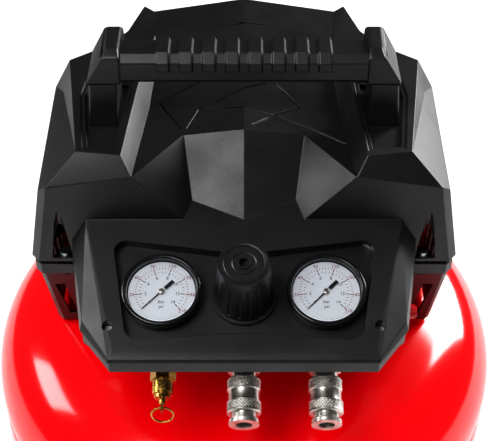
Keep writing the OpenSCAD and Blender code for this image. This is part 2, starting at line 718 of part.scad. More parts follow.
module safety_valve_body() color("#c9a24a") outlet_frame(-1) difference() {
    union() {
        translate([0, 0, manifold_half]) cylinder(r = 5.5, h = valve_s[0] - manifold_half);
        translate([0, 0, valve_s[0]]) cylinder(r = 9, h = valve_s[1] - valve_s[0], $fn = 6);
        translate([0, 0, valve_s[1]]) cylinder(r = 7, h = valve_s[2] - valve_s[1]);
        translate([0, 0, valve_s[2]]) cylinder(r = 5.6, h = valve_s[3] - valve_s[2]);
    }
    translate([0, 0, valve_s[0] + 2]) cylinder(r = 2.3 + run, h = 40);
}

module safety_valve_stem() color("#c9a24a") outlet_frame(-1) {
    translate([0, 0, valve_s[0] + 3]) cylinder(r = 2.3, h = valve_s[4] - valve_s[0] - 4);
    difference() {
        translate([-0.8, -2.6, valve_s[4] - 2]) cube([1.6, 5.2, 6.5]);
        translate([-2, 0, eye_s]) rotate([0, 90, 0]) cylinder(r = eye_hole_r, h = 4);
    }
}

function slope_point(s) = [0, manifold_y - s * cos(tilt), manifold_z - s * sin(tilt)];

module safety_valve_ring() color("#c9a24a")
    translate(slope_point(eye_s) + [-station_pitch, 0, -ring_r])
        rotate([90, 0, 0]) rotate_extrude() translate([ring_r, 0])
            circle(r = ring_wire_r, $fn = 24);

coupler_deep = 24;                          // how far the bore for the hose's plug goes in

module coupler_body(station) color("#c2c4c6") outlet_frame(station) difference() {
    union() {
        translate([0, 0, manifold_half]) cylinder(r = 11, h = adapter_s - manifold_half, $fn = 6);
        translate([0, 0, adapter_s]) cylinder(r = core_r, h = nose_s - adapter_s);
        translate([0, 0, sleeve_s[3] + 4.6]) cylinder(r = 10.5, h = nose_s - sleeve_s[3] - 4.6);
    }
    translate([0, 0, manifold_half - cut]) cylinder(r = 4, h = 50);
    translate([0, 0, nose_s - coupler_deep]) cylinder(r = coupler_bore_r, h = coupler_deep + cut);
}

module coupler_body_centre() coupler_body(0);
module coupler_body_right() coupler_body(1);

module coupler_sleeve(station) color("#c2c4c6") outlet_frame(station) difference() {
    for (i = [0 : 2]) translate([0, 0, sleeve_s[i]])
        cylinder(r = sleeve_r[i], h = sleeve_s[i + 1] - sleeve_s[i]);
    translate([0, 0, sleeve_s[0] - cut])
        cylinder(r = core_r + run, h = sleeve_s[3] - sleeve_s[0] + 2 * cut);
}

module coupler_sleeve_centre() coupler_sleeve(0);
module coupler_sleeve_right() coupler_sleeve(1);

// ---------------------------------------------------------------- covers and handle

// Bow-tie outline of the console's recess, in the console frame
recess_pts = [[-91, 34], [-86.5, 39.5], [-16, 30], [16, 30], [86.5, 39.5], [91, 34],
              [80, -31], [74, -37], [8, -31.5], [-8, -31.5], [-74, -37], [-80, -31]];

module recess_outline(grow) offset(r = grow + 8, $fn = 48) offset(delta = -8)
    polygon(recess_pts);

pocket_pts = [[86, -52], [112, -49], [120, 14], [118, 34], [82, 34], [84, -14]];

module both_sides() for (m = [0, 1]) mirror([m, 0, 0]) children();

module pocket(grow, depth) translate([0, 0, plateau_z - depth]) linear_extrude(depth + cut)
    offset(delta = grow) polygon(pocket_pts);

screw_well = [131, -70];
well_floor = 3;
cover_screw = [130, -65.5];
console_screw = [91.6, -26];

// A groove of width w and depth 1 in the cover's surface, along a plan route
module groove(route, w) for (i = [0 : len(route) - 2]) let (d = route[i + 1] - route[i])
    translate([route[i][0], route[i][1], 0]) rotate([0, 0, atan2(d[1], d[0])])
        translate([0, -w / 2, parting_z + 40]) cube([norm(d), w, 90]);

groove_routes = [
    [[-70, 23], [-34, 47]], [[-63, 26], [-45, -10]], [[-42, -10], [-33, 20]],
    [[-21, 26], [1, 41], [17, 46]], [[23, 46], [42, 21], [22, 9], [6, -11]],
    [[-28, 19], [0, 19], [24, 8], [73, -26]], [[-30, 98], [0, 105], [60, 100]]
];
groove_w = 1.4;
groove_deep = 1;

module upper_cover() color("#26272a") difference() {
    cover_body(0);
    difference() {
        cover_body(cover_wall);
        console_frame() translate([0, 0, floor_q - cover_wall]) linear_extrude(20)
            recess_outline(cover_wall);
        both_sides() pocket(cover_wall, pocket_deep + cover_wall);
    }
    console_frame() {
        translate([0, 0, floor_q]) linear_extrude(20) recess_outline(0);
        for (s = sides) translate([s * station_pitch, 0, gauge_back_q])
            cylinder(r = gauge_r - 2 + fit, h = 40);
        translate([0, 0, gauge_back_q]) cylinder(r = bonnet_r + fit, h = 40);
        for (s = sides) translate([s * console_screw[0], console_screw[1], 30])
            cylinder(r = 3.9, h = 30);
    }
    both_sides() {
        pocket(-3.5, pocket_deep);
        pocket(0, 1.4);
        translate([screw_well[0], screw_well[1], parting_z + well_floor])
            cylinder(r1 = 7.5, r2 = 1, h = 50);
        translate([cover_screw[0], cover_screw[1], parting_z - cut]) cylinder(r = 2.4, h = 8);
    }
    difference() {
        for (route = groove_routes) groove(route, groove_w);
        translate([0, 0, -groove_deep]) cover_body(0);
    }
}

// The parting outline pulled in by d, without the console
function body_outline(d) = let (
    right = [[155 - d, -64], [159 - d, 75], [100 - d / 2, 146 - d]],
    front = [[149 - d / 2, wall_foot_y + d]])
    concat(front, right, [for (p = backwards(concat(front, right))) [-p[0], p[1]]]);

// The lower edge's outline, on the dome
function foot_outline(d) = let (
    right = [[148 - d, -33], [150 - d, 66], [94 - d / 2, 118 - d]],
    front = [[143 - d / 2, -38 + d]])
    concat(front, right, [for (p = backwards(concat(front, right))) [-p[0], p[1]]]);

function console_outline(d) = [[124.5 - d, -50], [124.5 - d, wall_foot_y], [112 - d, -140 + d / 2],
    [90.5 - d / 2, -170 + d], [-90.5 + d / 2, -170 + d], [-112 + d, -140 + d / 2],
    [-124.5 + d, wall_foot_y], [-124.5 + d, -50]];

band_z = parting_z - notch_h;
wall_top_z = band_z - rim_band_h;
slot_count = 5;

module lower_body(d) {
    translate([0, 0, parting_z - notch_h - cut]) linear_extrude(notch_h + cut + (d > 4 ? 5 : 0))
        polygon(body_outline(d + 5));
    translate([0, 0, wall_top_z]) linear_extrude(rim_band_h) polygon(body_outline(d + 1.8));
    loft(foot_outline(d), lower_foot_z, body_outline(d + 4), wall_top_z + 0.01);
}

// The console's skirt, shallow in front and deeper towards the body
module skirt(d) intersection() {
    translate([0, 0, parting_z - 50]) linear_extrude(50) polygon(console_outline(d));
    rotate([90, 0, 90]) translate([0, 0, -130]) linear_extrude(260)
        polygon([[-171, parting_z + cut], [-171, parting_z - 10], [-145, parting_z - 10],
                 [-125, parting_z - 20], [-75, parting_z - 36], [-40, parting_z - 36],
                 [-40, parting_z + cut]]);
}

gland_x = -70;
gland_z = parting_z - 40;
gland_bore_r = 4.2;
gland_r = 9;
gland_y = [122, 148];

module lower_cover() color("#26272a") difference() {
    union() {
        difference() {
            union() {
                lower_body(0);
                skirt(1.6);
            }
            lower_body(cover_wall);
            translate([0, 0, -60]) skirt(1.6 + cover_wall);
            skirt(1.6 + cover_wall);
        }
        intersection() {
            lower_body(0);
            union() {
                translate([gland_x, gland_y[0], gland_z]) rotate([-90, 0, 0])
                    cylinder(r = gland_r + 3, h = 60);
                both_sides() translate([cover_screw[0], cover_screw[1] + 3, parting_z - 30])
                    cylinder(r = 7, h = 30);
            }
        }
    }
    both_sides() translate([cover_screw[0], cover_screw[1], parting_z - 18])
        cylinder(r = 2.2, h = 40);
    tank_room(tank_gap);
    translate([0, 0, -2]) cylinder(r = 300, h = lower_foot_z);
    translate([gland_x, 60, gland_z]) rotate([-90, 0, 0]) cylinder(r = gland_r - 2, h = 120);
    translate([console_side_x - 20, button_y, button_z]) rotate([0, 90, 0])
        cylinder(r = button_r + fit, h = 40);
    both_sides() {
        translate([132, -90, parting_z - 62]) rotate([-20, 6, 0]) cube([7, 60, 38]);
        for (i = [0 : slot_count - 1]) translate([130, -20 + 16 * i, parting_z - 60])
            cube([40, 7, 36]);
    }
    for (i = [0 : slot_count - 1]) translate([-20 + 18 * i, 100, parting_z - 60])
        cube([7, 60, 36]);
}

module handle_grip() color("#26272a") translate([0, 0, grip_z]) {
    rotate([90, 0, 90]) translate([0, 0, -post_x - 4]) linear_extrude(2 * post_x + 8)
        translate([grip_y, 0]) polygon([[0, 3], [3, 0], [grip_d - 3, 0], [grip_d, 3],
            [grip_d, grip_t - 8], [grip_d - 7, grip_t], [6, grip_t], [0, grip_t - 5]]);
    for (i = [0 : rib_count - 1])
        translate([(i - (rib_count - 1) / 2) * rib_pitch - rib_w / 2, 0, 0])
            rotate([90, 0, 90]) linear_extrude(rib_w) translate([grip_y, 0])
                polygon([[-rib_proud, grip_t / 2], [grip_d / 2, grip_t / 2],
                    [grip_d, grip_t - 8], [grip_d - 6, grip_t + rib_proud],
                    [5.4, grip_t + rib_proud], [-rib_proud, grip_t - 4.5]]);
}

// One end of the handle: a post in its pocket and a chamfered cap over the grip's end
module handle_end() difference() {
    union() {
        loft([[90.5, -16.5], [111, -16.5], [111, 26], [90.5, 26]], plateau_z - pocket_deep,
             [[88.5, -15.5], [108, -15.5], [108, 26], [88.5, 26]], grip_z + 0.01);
        loft([[85.5, -17], [110, -17], [110, 28], [85.5, 28]], grip_z,
             [[85.5, -17], [97, -17], [99, 24], [85.5, 24]], cap_z - 4);
        loft([[85.5, -17], [97, -17], [99, 24], [85.5, 24]], cap_z - 4.01,
             [[86.5, -9.5], [95, -9.5], [96, 18], [86.5, 18]], cap_z);
    }
    rotate([90, 0, 90]) linear_extrude(post_x + 4) translate([grip_y, grip_z])
        polygon([[0, 3], [3, 0], [grip_d - 3, 0], [grip_d, 3],
            [grip_d, grip_t - 8], [grip_d - 7, grip_t], [6, grip_t], [0, grip_t - 5]]);
}

module handle_ends() color("#26272a") both_sides() handle_end();

module cover_screws() color("#b9bcc0") both_sides() {
    console_frame() translate([console_screw[0], console_screw[1], face_q - 12])
        cylinder(r = 3.4, h = 4);
    translate([cover_screw[0], cover_screw[1], parting_z + well_floor]) {
        cylinder(r = 4, h = 3.5);
        translate([0, 0, -18]) cylinder(r = 2, h = 19);
    }
}

module cord_gland() color("#18181a") translate([gland_x, gland_y[0], gland_z]) rotate([-90, 0, 0])
    difference() {
        union() {
            cylinder(r = gland_r - 2 - fit, h = gland_y[1] - gland_y[0] - 6);
            translate([0, 0, gland_y[1] - gland_y[0] - 10]) cylinder(r = gland_r, h = 4);
            translate([0, 0, gland_y[1] - gland_y[0] - 6])
                cylinder(r1 = gland_r - 1, r2 = 6.4, h = 14);
        }
        translate([0, 0, -cut]) cylinder(r = gland_bore_r, h = 60);
    }

tank_upper_shell();
tank_lower_shell();
tank_seam_weld();
tank_ports();
tank_brackets();
tank_legs();
rubber_feet();
foot_screws();
drain_valve_body();
drain_valve_stem();
base_plate();
isolator_mounts();
motor_housing();
stator_core();
stator_windings();
rotor_core();
motor_shaft();
shaft_bearings();
cooling_fan();
crankcase();
crank_disc();
piston_rod();
rod_bearing();
piston();
piston_seal();
cylinder_sleeve();
valve_plate();
cylinder_head();
head_bolts();
intake_filter();
discharge_tube();
check_valve();
supply_tube();
air_manifold();
pressure_switch();
power_button();
regulator_bonnet();
regulator_spring();
regulator_screw();
regulator_knob();
gauge_cases();
gauge_dials();
gauge_lenses();
left_gauge_pointer();
right_gauge_pointer();
safety_valve_body();
safety_valve_stem();
safety_valve_ring();
coupler_body_centre();
coupler_body_right();
coupler_sleeve_centre();
coupler_sleeve_right();
upper_cover();
lower_cover();
handle_grip();
handle_ends();
cover_screws();
cord_gland();
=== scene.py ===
"""Pancake air compressor: the looks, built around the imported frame."""
import json
import math

import bpy
from mathutils import Matrix, Vector


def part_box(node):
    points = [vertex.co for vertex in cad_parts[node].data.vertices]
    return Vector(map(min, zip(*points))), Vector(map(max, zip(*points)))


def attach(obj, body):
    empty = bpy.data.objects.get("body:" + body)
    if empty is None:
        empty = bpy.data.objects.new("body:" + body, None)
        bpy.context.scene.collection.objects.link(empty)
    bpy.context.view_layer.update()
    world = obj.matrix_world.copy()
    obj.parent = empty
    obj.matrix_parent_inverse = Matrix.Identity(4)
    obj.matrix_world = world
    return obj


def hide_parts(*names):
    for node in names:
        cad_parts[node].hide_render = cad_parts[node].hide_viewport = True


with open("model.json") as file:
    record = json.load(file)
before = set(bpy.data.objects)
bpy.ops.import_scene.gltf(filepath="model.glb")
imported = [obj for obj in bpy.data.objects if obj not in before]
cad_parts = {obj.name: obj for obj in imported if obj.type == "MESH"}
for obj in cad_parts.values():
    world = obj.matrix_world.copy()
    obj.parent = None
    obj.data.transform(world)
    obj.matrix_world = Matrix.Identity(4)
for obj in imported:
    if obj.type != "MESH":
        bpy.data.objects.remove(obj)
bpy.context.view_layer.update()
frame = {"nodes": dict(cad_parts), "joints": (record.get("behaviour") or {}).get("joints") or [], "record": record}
MM = 0.001

# ------------------------------------------------------------------ frame facts

JOINTS = {joint["name"]: joint for joint in frame["joints"]}
OUT = Vector(JOINTS["pressure_turn"]["axis"]).normalized()      # out of the console's face
UP_SLOPE = Vector(JOINTS["centre_sleeve_slide"]["axis"]).normalized()
KNOB_POINT = Vector(JOINTS["pressure_turn"]["pos_m"])
LEFT_GAUGE = Vector(JOINTS["left_pointer_turn"]["pos_m"])
RIGHT_GAUGE = Vector(JOINTS["right_pointer_turn"]["pos_m"])
CONSOLE = Matrix((Vector((1, 0, 0)), UP_SLOPE, OUT)).transposed().to_4x4()
TANK_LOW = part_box("tank_lower_shell")[0]
TANK_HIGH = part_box("tank_upper_shell")[1]
TANK_R = TANK_HIGH.x
TANK_FOOT = TANK_LOW.z


def on_console(point):
    """The frame of the console's face, moved to a point."""
    return Matrix.Translation(point) @ CONSOLE


# ------------------------------------------------------------------ materials

def colour(code):
    """An sRGB hex colour as linear RGBA."""
    parts = [int(code[i:i + 2], 16) / 255 for i in (1, 3, 5)]
    linear = [c / 12.92 if c <= 0.04045 else ((c + 0.055) / 1.055) ** 2.4 for c in parts]
    return (*linear, 1.0)


def add(tree, kind, links=None, **settings):
    """Adds a node of a kind, sets its sockets or properties, and links its inputs."""
    node = tree.nodes.new(kind)
    for name, value in settings.items():
        key = name.replace("_", " ")
        socket = next((s for s in node.inputs if s.name.lower() == key.lower()), None)
        if hasattr(node, name):
            setattr(node, name, value)
        elif socket is not None:
            socket.default_value = value
    for name, source in (links or {}).items():
        tree.links.new(source, node.inputs[name])
    return node


def finish_of(name, base, **settings):
    """A new material with a Principled shader; returns material, tree, shader, coordinates."""
    material = bpy.data.materials.new(name)
    material.use_nodes = True
    tree = material.node_tree
    shader = tree.nodes["Principled BSDF"]
    shader.inputs["Base Color"].default_value = colour(base)
    for key, value in settings.items():
        shader.inputs[key.replace("_", " ")].default_value = value
    place = add(tree, "ShaderNodeTexCoord").outputs["Object"]
    return material, tree, shader, place


def grain(tree, shader, place, size, height, detail=2.0):
    """Bump from a noise whose cells are about size metres across."""
    noise = add(tree, "ShaderNodeTexNoise", {"Vector": place}, Scale=1 / size, Detail=detail)
    bump = add(tree, "ShaderNodeBump", {"Height": noise.outputs["Fac"]}, Strength=1.0,
               Distance=height)
    tree.links.new(bump.outputs["Normal"], shader.inputs["Normal"])
    return noise


def vary(tree, shader, place, socket, size, low, high):
    """A slow change of one number over the surface, between low and high."""
    noise = add(tree, "ShaderNodeTexNoise", {"Vector": place}, Scale=1 / size, Detail=3.0)
    span = add(tree, "ShaderNodeMapRange", {"Value": noise.outputs["Fac"]})
    span.inputs["From Min"].default_value = 0.3
    span.inputs["From Max"].default_value = 0.7
    span.inputs["To Min"].default_value = low
    span.inputs["To Max"].default_value = high
    tree.links.new(span.outputs["Result"], shader.inputs[socket])


def tint(tree, shader, place, size, dark, light):
    """A slow change of colour over the surface."""
    noise = add(tree, "ShaderNodeTexNoise", {"Vector": place}, Scale=1 / size, Detail=4.0)
    ramp = add(tree, "ShaderNodeValToRGB", {"Fac": noise.outputs["Fac"]})
    ramp.color_ramp.elements[0].position = 0.35
    ramp.color_ramp.elements[1].position = 0.65
    ramp.color_ramp.elements[0].color = colour(dark)
    ramp.color_ramp.elements[1].color = colour(light)
    tree.links.new(ramp.outputs["Color"], shader.inputs["Base Color"])


def moulded_abs(name, dark, light, roughness):
    """ABS moulded in a spark-eroded tool: an even, very fine grain and a soft sheen."""
    material, tree, shader, place = finish_of(name, light, IOR=1.53)
    grain(tree, shader, place, 0.7 * MM, 0.09 * MM)
    vary(tree, shader, place, "Roughness", 30 * MM, roughness - 0.05, roughness + 0.05)
    tint(tree, shader, place, 45 * MM, dark, light)
    return material


def red_enamel():
    """Gloss powder enamel on pressed steel: deep red, clear top, a trace of orange peel."""
    material, tree, shader, place = finish_of("red_enamel", "#E0000A", IOR=1.5, Roughness=0.12)
    grain(tree, shader, place, 4 * MM, 0.012 * MM)
    tint(tree, shader, place, 90 * MM, "#DC0008", "#E6000C")
    return material


def bare_metal(name, dark, light, roughness, size=1.2 * MM):
    """Plain, plated or cast metal, with faint tool marks that break up its reflections."""
    material, tree, shader, place = finish_of(name, light, Metallic=1.0)
    grain(tree, shader, place, size, 0.01 * MM)
    vary(tree, shader, place, "Roughness", 6 * MM, roughness - 0.06, roughness + 0.08)
    tint(tree, shader, place, 12 * MM, dark, light)
    return material


def clear_lens():
    """Clear polystyrene: seen almost only by its reflections."""
    material, tree, shader, place = finish_of("clear_lens", "#000000", IOR=1.49, Roughness=0.03,
                                              Alpha=0.12)
    grain(tree, shader, place, 20 * MM, 0.002 * MM)
    return material


# Each finish starts from what the real one is. The two colours are the darkest and the
# lightest that a clean piece shows, and the last number is its roughness.
MATERIALS = {
    "tank_red": red_enamel(),
    "cover_black": moulded_abs("moulded_abs_black", "#08090A", "#0D0E0F", 0.42),
    "knob_black": moulded_abs("moulded_nylon_black", "#060607", "#0A0B0C", 0.38),
    "nickel": bare_metal("nickel_plate", "#C9C5BE", "#E6E2DC", 0.32),
    "brass": bare_metal("turned_brass", "#A8803A", "#D6B05E", 0.26),
    "copper": bare_metal("drawn_copper", "#9C5A38", "#C07A4C", 0.3),
    "steel": bare_metal("zinc_plated_steel", "#8C8F94", "#B4B7BB", 0.3),
    "cast_aluminium": bare_metal("cast_aluminium", "#83868A", "#A9ACB0", 0.5, 2 * MM),
    "black_steel": moulded_abs("black_painted_steel", "#151618", "#1D1E20", 0.42),
    "rubber": moulded_abs("vulcanised_rubber", "#0F0F10", "#161617", 0.7),
    "gauge_black": moulded_abs("gloss_black_enamel", "#08080A", "#0C0C0E", 0.2),
    "dial_white": moulded_abs("printed_dial_white", "#C9CDD5", "#D1D5DC", 0.5),
    "lens": clear_lens(),
    "pointer_black": moulded_abs("pointer_black_paint", "#09090A", "#101011", 0.5),
    "button_red": moulded_abs("gloss_red_plastic", "#A0060C", "#B8080E", 0.22),
    "seal_brown": moulded_abs("filled_ptfe", "#5A3E26", "#6A4A2E", 0.5),
}
SCALE_RED = moulded_abs("dial_print_red", "#6E080E", "#780A12", 0.5)


def wear(piece, slot):
    piece.data.materials.clear()
    piece.data.materials.append(MATERIALS[slot])


NODE_SLOT = {row["node"]: row["material_slot"] for row in frame["record"]["subparts"]}
NODE_BODY = {node: body for body, members in frame["record"]["behaviour"]["bodies"].items()
             for node in members}
for node_name, node in frame["nodes"].items():
    wear(node, NODE_SLOT[node_name])

# ------------------------------------------------------------------ modelling helpers


def alone(piece):
    """Only this piece is selected and active."""
    bpy.ops.object.select_all(action="DESELECT")
    piece.select_set(True)
    bpy.context.view_layer.objects.active = piece


def settle(piece):
    """Puts the piece's place into its mesh."""
    alone(piece)
    bpy.ops.object.transform_apply(location=True, rotation=True, scale=True)


def smooth(piece, degrees=30):
    alone(piece)
    bpy.ops.object.shade_smooth_by_angle(angle=math.radians(degrees))


def outwards(piece, gap=0.001 * MM):
    alone(piece)
    bpy.ops.object.mode_set(mode="EDIT")
    bpy.ops.mesh.select_all(action="SELECT")
    bpy.ops.mesh.remove_doubles(threshold=gap)
    bpy.ops.mesh.normals_make_consistent(inside=False)
    bpy.ops.object.mode_set(mode="OBJECT")


def rounded(piece, width, segments=2, degrees=12, shortest=5 * MM):
    """Rounds the piece's long edges that are sharper than an angle."""
    mesh = piece.data
    weights = mesh.attributes.new("bevel_weight_edge", "FLOAT", "EDGE")
    faces_of = {}
    for face in mesh.polygons:
        for key in face.edge_keys:
            faces_of.setdefault(key, []).append(face.normal)
    for edge in mesh.edges:
        one, two = (mesh.vertices[i].co for i in edge.vertices)
        sides = faces_of.get(edge.key, [])
        if len(sides) == 2 and (one - two).length > shortest:
            if sides[0].angle(sides[1], 0) > math.radians(degrees):
                weights.data[edge.index].value = 1
    alone(piece)
    bevel = piece.modifiers.new("round", "BEVEL")
    bevel.width = width
    bevel.segments = segments
    bevel.limit_method = "WEIGHT"
    bevel.use_clamp_overlap = False
    bevel.loop_slide = True
    bpy.ops.object.modifier_apply(modifier=bevel.name)


def remade(node_name, width, segments=2, flat=2.0):
    """A copy of a CAD node with its facets joined and its edges rounded."""
    source = frame["nodes"][node_name]
    piece = source.copy()
    piece.data = source.data.copy()
    for key in list(piece.keys()):
        if key.startswith("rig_"):
            del piece[key]
    piece.parent = None
    piece.name = node_name + "_finished"
    bpy.context.scene.collection.objects.link(piece)
    alone(piece)
    bpy.ops.object.mode_set(mode="EDIT")
    bpy.ops.mesh.select_all(action="SELECT")
    bpy.ops.mesh.remove_doubles(threshold=0.02 * MM)
    bpy.ops.mesh.dissolve_limited(angle_limit=math.radians(flat))
    bpy.ops.object.mode_set(mode="OBJECT")
    rounded(piece, width, segments)
    smooth(piece, 16)
    flats = piece.modifiers.new("flats", "WEIGHTED_NORMAL")
    flats.keep_sharp = True
    flats.weight = 100
    bpy.ops.object.modifier_apply(modifier=flats.name)
    wear(piece, NODE_SLOT[node_name])
    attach(piece, NODE_BODY[node_name])
    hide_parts(node_name)
    return piece


def turned(name, outline, slot, body, place=None, steps=96, soft=35):
    """A piece turned about its z axis from an outline of (radius, height) in metres."""
    bpy.ops.object.select_all(action="DESELECT")
    bpy.ops.mesh.primitive_plane_add(size=1 * MM)
    piece = bpy.context.active_object
    piece.name = name
    bpy.ops.object.mode_set(mode="EDIT")
    bpy.ops.mesh.select_all(action="SELECT")
    bpy.ops.mesh.merge(type="CENTER")
    last = Vector((0, 0, 0))
    for index, (radius, height) in enumerate(outline):
        point = Vector((radius, 0, height))
        if index:
            bpy.ops.mesh.extrude_region_move(TRANSFORM_OT_translate={"value": point - last})
        else:
            bpy.ops.transform.translate(value=point - last)
        last = point
    bpy.ops.mesh.select_all(action="SELECT")
    bpy.ops.mesh.spin(steps=steps, angle=math.tau, center=(0, 0, 0), axis=(0, 0, 1))
    bpy.ops.object.mode_set(mode="OBJECT")
    outwards(piece, 0.01 * MM)
    piece.matrix_world = place or Matrix.Identity(4)
    settle(piece)
    smooth(piece, soft)
    wear(piece, slot)
    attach(piece, body)
    return piece


def arc(centre, radius, start, end, count):
    """Points of an arc in (radius, height), angles in degrees."""
    return [(centre[0] + radius * math.cos(math.radians(start + (end - start) * i / count)),
             centre[1] + radius * math.sin(math.radians(start + (end - start) * i / count)))
            for i in range(count + 1)]


def softened(outline, radius, count=4):
    """An outline with each inner corner turned into a small curve."""
    points = [outline[0]]
    for before, corner, after in zip(outline, outline[1:], outline[2:]):
        a, b, c = (Vector((*p, 0)) for p in (before, corner, after))
        reach = min(radius, (a - b).length * 0.45, (c - b).length * 0.45)
        one = b + (a - b).normalized() * reach
        two = b + (c - b).normalized() * reach
        for i in range(count + 1):
            t = i / count
            p = one * (1 - t) ** 2 + b * 2 * t * (1 - t) + two * t ** 2
            points.append((p.x, p.y))
    points.append(outline[-1])
    return points


# ------------------------------------------------------------------ tank

def domed_head(apex, skirt, sign):
    """Outline of a torispherical head from its apex out to the skirt."""
    knuckle = 65 * MM
    height = abs(apex - skirt)
    crown = ((TANK_R - knuckle) ** 2 + height ** 2 - knuckle ** 2) / (2 * (height - knuckle))
    lean = math.degrees(math.atan((TANK_R - knuckle) / (crown - height)))
    dome = arc((0, height - crown), crown, 90, 90 - lean, 24)
    turn = arc((TANK_R - knuckle, 0), knuckle, 90 - lean, 0, 32)
    return [(max(r, 0), skirt + sign * h) for r, h in dome + turn[1:]]


HEAD = 85 * MM
WELD_Z = (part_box("tank_seam_weld")[0].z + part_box("tank_seam_weld")[1].z) / 2
WALL = 2.5 * MM
GROOVE = 1.6 * MM                                 # from the weld to each shell's rim
top_rim = [(TANK_R - 0.2 * MM, WELD_Z + GROOVE + 0.6 * MM), (TANK_R - 1 * MM, WELD_Z + GROOVE),
           (TANK_R - WALL, WELD_Z + GROOVE)]
upper = domed_head(TANK_HIGH.z, TANK_HIGH.z - HEAD, 1) + top_rim
low_rim = [(r, 2 * WELD_Z - h) for r, h in top_rim]
lower = domed_head(TANK_FOOT, TANK_FOOT + HEAD, -1) + low_rim


def closed_shell(outline):
    """The outline with an inner face one wall in, back to the axis."""
    middle = (TANK_HIGH.z + TANK_FOOT) / 2
    inner = [(r * (1 - WALL / TANK_R), middle + (h - middle) * (1 - WALL / HEAD))
             for r, h in reversed(outline[:-3])]
    return outline + inner


tank_top = turned("tank_upper_finished", closed_shell(upper), "tank_red", "root", steps=192)
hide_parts("tank_upper_shell")
tank_base = turned("tank_lower_finished", closed_shell(lower), "tank_red", "root", steps=192)
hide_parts("tank_lower_shell")

# ------------------------------------------------------------------ covers and handle

remade("upper_cover", 0.6 * MM)
remade("lower_cover", 0.6 * MM)
remade("handle_grip", 1.0 * MM, 3)
remade("handle_ends", 1.6 * MM, 3)
remade("regulator_knob", 0.35 * MM)

# ------------------------------------------------------------------ gauges

FACE_Q = 44.4 * MM                                # the console's face, out from its datum
SCREW_X, SCREW_UP = 91.6 * MM, -26 * MM           # the holes for the console's two screws
DATUM = KNOB_POINT - OUT * ((KNOB_POINT - Vector((0, -107 * MM, 313.4 * MM))).dot(OUT))
DIAL_TOP = 42.1 * MM
SWEEP = 270                                       # degrees from the scale's start to its end
NEEDLE = 18.5 * MM                                # from the pointer's axis to its tip
NEEDLE_UP = 1.1 * MM                              # the pointer's height above the dial


def face_point(x, out, up=0.0):
    """A point on the console: across, out from its datum, and up its slope."""
    return Vector((x, DATUM.y, DATUM.z)) + OUT * out + UP_SLOPE * up


def joined(pieces, name):
    """Several pieces made into one."""
    bpy.ops.object.select_all(action="DESELECT")
    for piece in pieces:
        piece.select_set(True)
    bpy.context.view_layer.objects.active = pieces[0]
    if len(pieces) > 1:
        bpy.ops.object.join()
    pieces[0].name = name
    return pieces[0]


def tick(place, angle, inner, outer, width):
    """One flat line of a scale, raised by the thickness of its ink."""
    turn = place @ Matrix.Rotation(math.radians(-angle), 4, "Z")
    bpy.ops.object.select_all(action="DESELECT")
    bpy.ops.mesh.primitive_cube_add(size=1, location=(0, 0, 0))
    line = bpy.context.active_object
    line.matrix_world = (turn @ Matrix.Translation((0, (inner + outer) / 2, 0))
                         @ Matrix.Diagonal((width, outer - inner, 0.08 * MM, 1)))
    settle(line)
    return line


def printed(place, words, size):
    """Numbers or a unit printed flat at a place, centred."""
    bpy.ops.object.select_all(action="DESELECT")
    bpy.ops.object.text_add()
    text = bpy.context.active_object
    text.data.body = words
    text.data.size = size
    text.data.align_x = "CENTER"
    text.data.align_y = "CENTER"
    text.data.extrude = 0.04 * MM
    text.data.resolution_u = 2
    bpy.ops.object.convert(target="MESH")
    text = bpy.context.active_object
    text.matrix_world = place
    settle(text)
    return text


def scale_of(place, name, material, outer, length, marks, small, numbers, number_r, size):
    """An arc of marks and numbers round a dial."""
    pieces = []
    steps = marks * small
    for i in range(steps + 1):
        long = i % small == 0
        angle = -SWEEP / 2 + SWEEP * i / steps
        pieces.append(tick(place, angle, outer - length * (1.0 if long else 0.5), outer,
                           (0.55 if long else 0.32) * MM))
    for value, share in numbers:
        angle = math.radians(-SWEEP / 2 + SWEEP * share)
        spot = place @ Matrix.Translation((number_r * math.sin(angle),
                                           number_r * math.cos(angle), 0))
        pieces.append(printed(spot, value, size))
    group = joined(pieces, name)
    group.data.materials.clear()
    group.data.materials.append(material)
    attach(group, "root")
    return group


